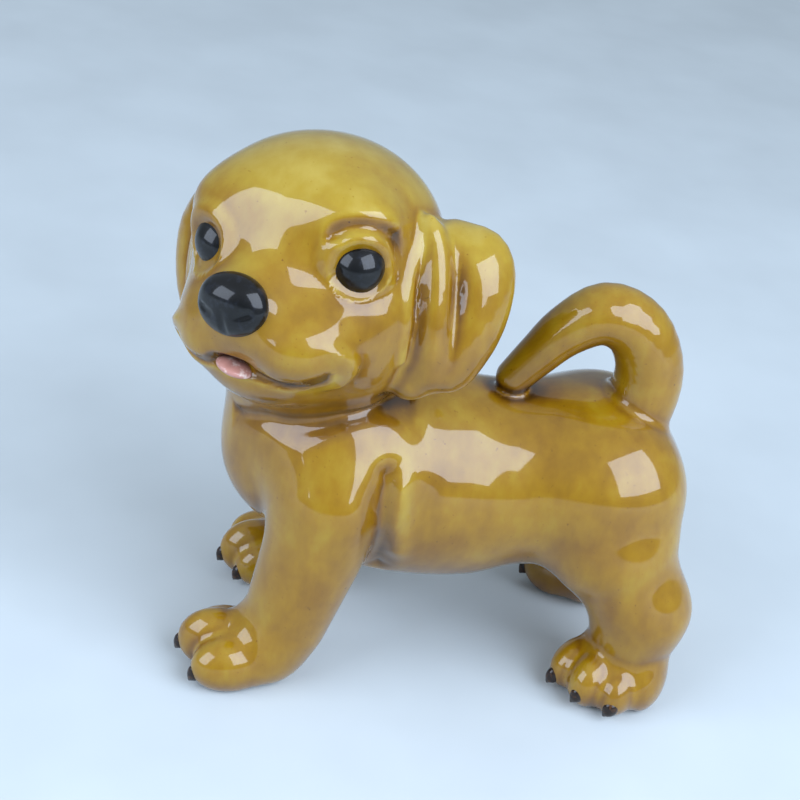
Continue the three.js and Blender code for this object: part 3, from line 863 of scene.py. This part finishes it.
class PuppyTools(PropertyGroup):
    """Depths that the modelling tools leave in the clay."""

    lid: depth_setting("Lid height", "Height of the padded lid over each eye", "lid", 3.0)
    mouth: depth_setting("Mouth depth", "Depth of the line of the mouth", "mouth", 2.0)
    collar: depth_setting("Collar depth", "Depth of the fold where the neck meets the body", "collar", 3.0)
    shoulder: depth_setting("Shoulder depth", "Depth of the fold behind each foreleg", "shoulder", 3.0)
    toe: depth_setting("Toe fillet", "Width of the slip smoothed between two toes", "toe", 5.0)
    ear: depth_setting("Ear groove", "Depth of the groove in front of each ear", "ear", 4.0)
    lute: depth_setting("Neck joint", "Width of the slip smoothed round the joint of the head", "lute", 8.0)


class PuppyGlazes(PropertyGroup):
    """Colours of the glazes."""

    # The bare and thin amber also serve as a painted reflection on the crown. The deep, pooled and
    # crease-brown amber also serve as painted shade in creases, hollows and on the undersides.
    bare: colour_setting("Bare edges", "Amber glaze where it has run off an edge", 0xB29A42)
    thin: colour_setting("Thin amber", "Amber glaze where it is thin", 0xA38620)
    even: colour_setting("Amber", "Amber glaze at its usual depth", 0x8F6906)
    deep: colour_setting("Deep amber", "Amber glaze where it is deep", 0x774F04)
    pooled: colour_setting("Pooled amber", "Amber glaze pooled in a hollow", 0x533403)
    dark: colour_setting("Crease brown", "Amber glaze in the tightest creases", 0x351D03)
    black: colour_setting("Black", "Glaze of the eyes and nose", 0x030304)
    black_bloom: colour_setting("Black bloom", "Eyes and nose where the brush left less glaze", 0x12141B)
    tongue: colour_setting("Tongue", "Pink of the tongue", 0xD9BFB4)
    tongue_deep: colour_setting("Tongue, deep", "Tongue where the pink is thick", 0xB98478)
    claw: colour_setting("Claws", "Glaze of the claws", 0x1C0F07)
    claw_edge: colour_setting("Claw edges", "Claws where the glaze breaks", 0x4A2C12)


class PuppyStage(PropertyGroup):
    """The floor, the camera and the soft lights."""

    floor: colour_setting("Floor", "Colour of the paper", 0xC6CED1)
    sky: colour_setting("Sky", "Colour of the soft light overhead", 0xDDE9F6)
    horizon: colour_setting("Horizon", "Colour of the soft light from the sides", 0x93A0AD)
    sky_strength: FloatProperty(name="Sky strength", description="Strength of the light from all round",
                                default=0.85, min=0.0, max=5.0)
    camera_turn: FloatProperty(name="Camera turn", description="Angle of the camera round the puppy's left",
                               default=radians(80), subtype="ANGLE", unit="ROTATION")
    camera_lift: FloatProperty(name="Camera lift", description="Angle of the camera above the floor",
                               default=radians(30), subtype="ANGLE", unit="ROTATION")
    camera_bank: FloatProperty(name="Camera bank", description="Tilt of the camera about its own axis",
                               default=radians(10), subtype="ANGLE", unit="ROTATION")
    camera_distance: FloatProperty(name="Camera distance", description="Distance from camera to puppy",
                                   default=380 * GRAIN, min=0.1, subtype="DISTANCE", unit="LENGTH")
    side_window: FloatProperty(name="Side window", description="Power of the window beside the puppy's rear",
                               default=9.4, min=0.0, subtype="POWER", unit="POWER")
    front_window: FloatProperty(name="Front window", description="Power of the window before its chest",
                                default=5.0, min=0.0, subtype="POWER", unit="POWER")
    side_width: FloatProperty(name="Side window width", description="Width of the side window",
                              default=0.72, min=0.05, subtype="DISTANCE", unit="LENGTH")
    front_width: FloatProperty(name="Front window width", description="Width of the front window",
                               default=0.58, min=0.05, subtype="DISTANCE", unit="LENGTH")
    window_light: colour_setting("Window light", "Colour of both windows", 0xDEEBFF)


# ------------------------------------------------------------------------------ operators


class PUPPY_OT_body(Operator):
    """Cast the body and its tail"""

    bl_idname = "puppy.body"
    bl_label = "Body and tail"

    def execute(self, context):
        show_cast("torso", "tail")
        return {"FINISHED"}


class PUPPY_OT_legs(Operator):
    """Cast the four legs with their toes"""

    bl_idname = "puppy.legs"
    bl_label = "Legs"

    def execute(self, context):
        show_cast("front_left_leg", "front_right_leg", "rear_left_leg", "rear_right_leg")
        return {"FINISHED"}


class PUPPY_OT_head(Operator):
    """Cast the head and its folded ears"""

    bl_idname = "puppy.head"
    bl_label = "Head and ears"

    def execute(self, context):
        show_cast("head", "left_ear", "right_ear")
        return {"FINISHED"}


class PUPPY_OT_eyes(Operator):
    """Set both domed eyes in their seats"""

    bl_idname = "puppy.eyes"
    bl_label = "Eyes"

    def execute(self, context):
        for side, word in ((1, "left"), (-1, "right")):
            at, turn = EYES[side]
            mesh = small_mesh(f"{word}_eye", eye_form, EYE_HALF, head_pose(at, turn))
            show(f"glazed_{word}_eye", mesh, glazed(gloss_black_glaze), "black_glaze", f"{word}_eye")
        return {"FINISHED"}


class PUPPY_OT_nose(Operator):
    """Set the nose pad in its seat"""

    bl_idname = "puppy.nose"
    bl_label = "Nose"

    def execute(self, context):
        mesh = small_mesh("nose", nose_form, NOSE_HALF, head_pose(NOSE_AT))
        show("glazed_nose", mesh, glazed(gloss_black_glaze), "black_glaze", "nose")
        return {"FINISHED"}


class PUPPY_OT_tongue(Operator):
    """Set the tip of the tongue in the mouth"""

    bl_idname = "puppy.tongue"
    bl_label = "Tongue"

    def execute(self, context):
        mesh = small_mesh("tongue", tongue_form, TONGUE_HALF, head_pose(TONGUE_AT, 0, TONGUE_TILT))
        show("glazed_tongue", mesh, glazed(pink_underglaze), "pink_glaze", "tongue")
        return {"FINISHED"}


class PUPPY_OT_claws(Operator):
    """Set the three claws of each paw in their toes"""

    bl_idname = "puppy.claws"
    bl_label = "Claws"

    def execute(self, context):
        for end in ("front", "rear"):
            for word in ("left", "right"):
                for k in (1, 2, 3):
                    name = f"{end}_{word}_claw_{k}"
                    low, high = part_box(name)
                    middle = (np.array((low + high) / 2) - CAST_ORIGIN) / GRAIN
                    mesh = small_mesh(name, claw_form, CLAW_HALF, Matrix.Translation(Vector(middle)))
                    show("glazed_" + name, mesh, glazed(iron_brown_glaze), "claw_glaze", name)
        return {"FINISHED"}


def hang_window(name, target, toward, distance, size, power, colour):
    """Hangs a rectangular soft light that faces the target."""
    light = bpy.data.lights.new(name, "AREA")
    light.shape = "RECTANGLE"
    light.size, light.size_y = size
    light.energy = power
    light.color = colour[:3]
    lamp = bpy.data.objects.new(name, light)
    toward = Vector(toward).normalized()
    turn = toward.to_track_quat("Z", "Y").to_matrix().to_4x4()
    lamp.matrix_world = Matrix.Translation(target + toward * distance) @ turn
    bpy.context.scene.collection.objects.link(lamp)


# What the camera looks at, in the casting, and where the soft lights hang round it.
LOOK_AT = (0, -14.6, 65.5)
WINDOW_DISTANCE = 0.75
SIDE_WINDOW_TOWARD = (0.62, 0.55, 0.56)
FRONT_WINDOW_TOWARD = (0.36, -0.8, 0.42)
FLOOR_HALF = 12.0
SENSOR_WIDTH, FOCAL_LENGTH = 36, 73.35


class PUPPY_OT_stage(Operator):
    """Lay the paper floor, hang the windows and stand the camera"""

    bl_idname = "puppy.stage"
    bl_label = "Stage"

    def execute(self, context):
        scene = context.scene
        wants = scene.puppy_stage
        floor_mesh = bpy.data.meshes.new("floor")
        corners = [(x * FLOOR_HALF, y * FLOOR_HALF, 0) for x, y in ((-1, -1), (1, -1), (1, 1), (-1, 1))]
        floor_mesh.from_pydata(corners, [], [(0, 1, 2, 3)])
        floor_mesh.materials.append(matt_paper(wants))
        floor = bpy.data.objects.new("floor", floor_mesh)
        scene.collection.objects.link(floor)
        target = Vector(to_frame(LOOK_AT))
        turn, lift = wants.camera_turn, wants.camera_lift
        back = Vector((sin(turn) * cos(lift), -cos(turn) * cos(lift), sin(lift)))
        camera = bpy.data.objects.new("camera", bpy.data.cameras.new("camera"))
        camera.data.sensor_width = SENSOR_WIDTH
        camera.data.lens = FOCAL_LENGTH
        camera.data.clip_start = 0.01
        aim = back.to_track_quat("Z", "Y").to_matrix().to_4x4() @ Matrix.Rotation(wants.camera_bank, 4, "Z")
        camera.matrix_world = Matrix.Translation(target + back * wants.camera_distance) @ aim
        scene.collection.objects.link(camera)
        scene.camera = camera
        sky = bpy.data.worlds.new("studio")
        scene.world = sky
        sky.use_nodes = True
        tree = sky.node_tree
        background = tree.nodes["Background"]
        background.inputs["Strength"].default_value = wants.sky_strength
        above = add(tree, "ShaderNodeSeparateXYZ", [(0, add(tree, "ShaderNodeTexCoord"), "Generated")])
        rise = add(tree, "ShaderNodeMapRange", [(0, above, "Z")], in_1=0.0, in_2=1.0, clamp=True)
        vault = shade(tree, rise, (0.0, wants.horizon), (1.0, wants.sky))
        tree.links.new(vault.outputs[0], background.inputs["Color"])
        for name, toward, wide, power in (
            ("side window", SIDE_WINDOW_TOWARD, wants.side_width, wants.side_window),
            ("front window", FRONT_WINDOW_TOWARD, wants.front_width, wants.front_window),
        ):
            hang_window(name, target, toward, WINDOW_DISTANCE, (wide, wide * 0.92), power, wants.window_light)
        scene.view_settings.view_transform = "Standard"
        return {"FINISHED"}


OPERATORS = (
    PUPPY_OT_body, PUPPY_OT_legs, PUPPY_OT_head, PUPPY_OT_eyes, PUPPY_OT_nose, PUPPY_OT_tongue,
    PUPPY_OT_claws, PUPPY_OT_stage,
)


class PUPPY_PT_maker(Panel):
    """Lists the settings and the pieces"""

    bl_idname = "PUPPY_PT_maker"
    bl_label = "Ceramic puppy"
    bl_space_type = "VIEW_3D"
    bl_region_type = "UI"
    bl_category = "Puppy"

    def draw(self, context):
        for title, settings in (
            ("Tools", context.scene.puppy_tools),
            ("Glazes", context.scene.puppy_glazes),
            ("Stage", context.scene.puppy_stage),
        ):
            box = self.layout.box()
            box.label(text=title)
            for key in type(settings).__annotations__:
                box.prop(settings, key)
        for operator in OPERATORS:
            self.layout.operator(operator.bl_idname)


GROUPS = {"puppy_tools": PuppyTools, "puppy_glazes": PuppyGlazes, "puppy_stage": PuppyStage}


def register():
    for made in (*GROUPS.values(), *OPERATORS, PUPPY_PT_maker):
        bpy.utils.register_class(made)
    for key, group in GROUPS.items():
        setattr(bpy.types.Scene, key, PointerProperty(type=group))


def unregister():
    for key in GROUPS:
        delattr(bpy.types.Scene, key)
    for made in reversed((*GROUPS.values(), *OPERATORS, PUPPY_PT_maker)):
        bpy.utils.unregister_class(made)


def main():
    register()
    bpy.ops.puppy.body()
    bpy.ops.puppy.legs()
    bpy.ops.puppy.head()
    bpy.ops.puppy.eyes()
    bpy.ops.puppy.nose()
    bpy.ops.puppy.tongue()
    bpy.ops.puppy.claws()
    bpy.ops.puppy.stage()
    bpy.context.view_layer.update()


if __name__ == "__main__":
    main()
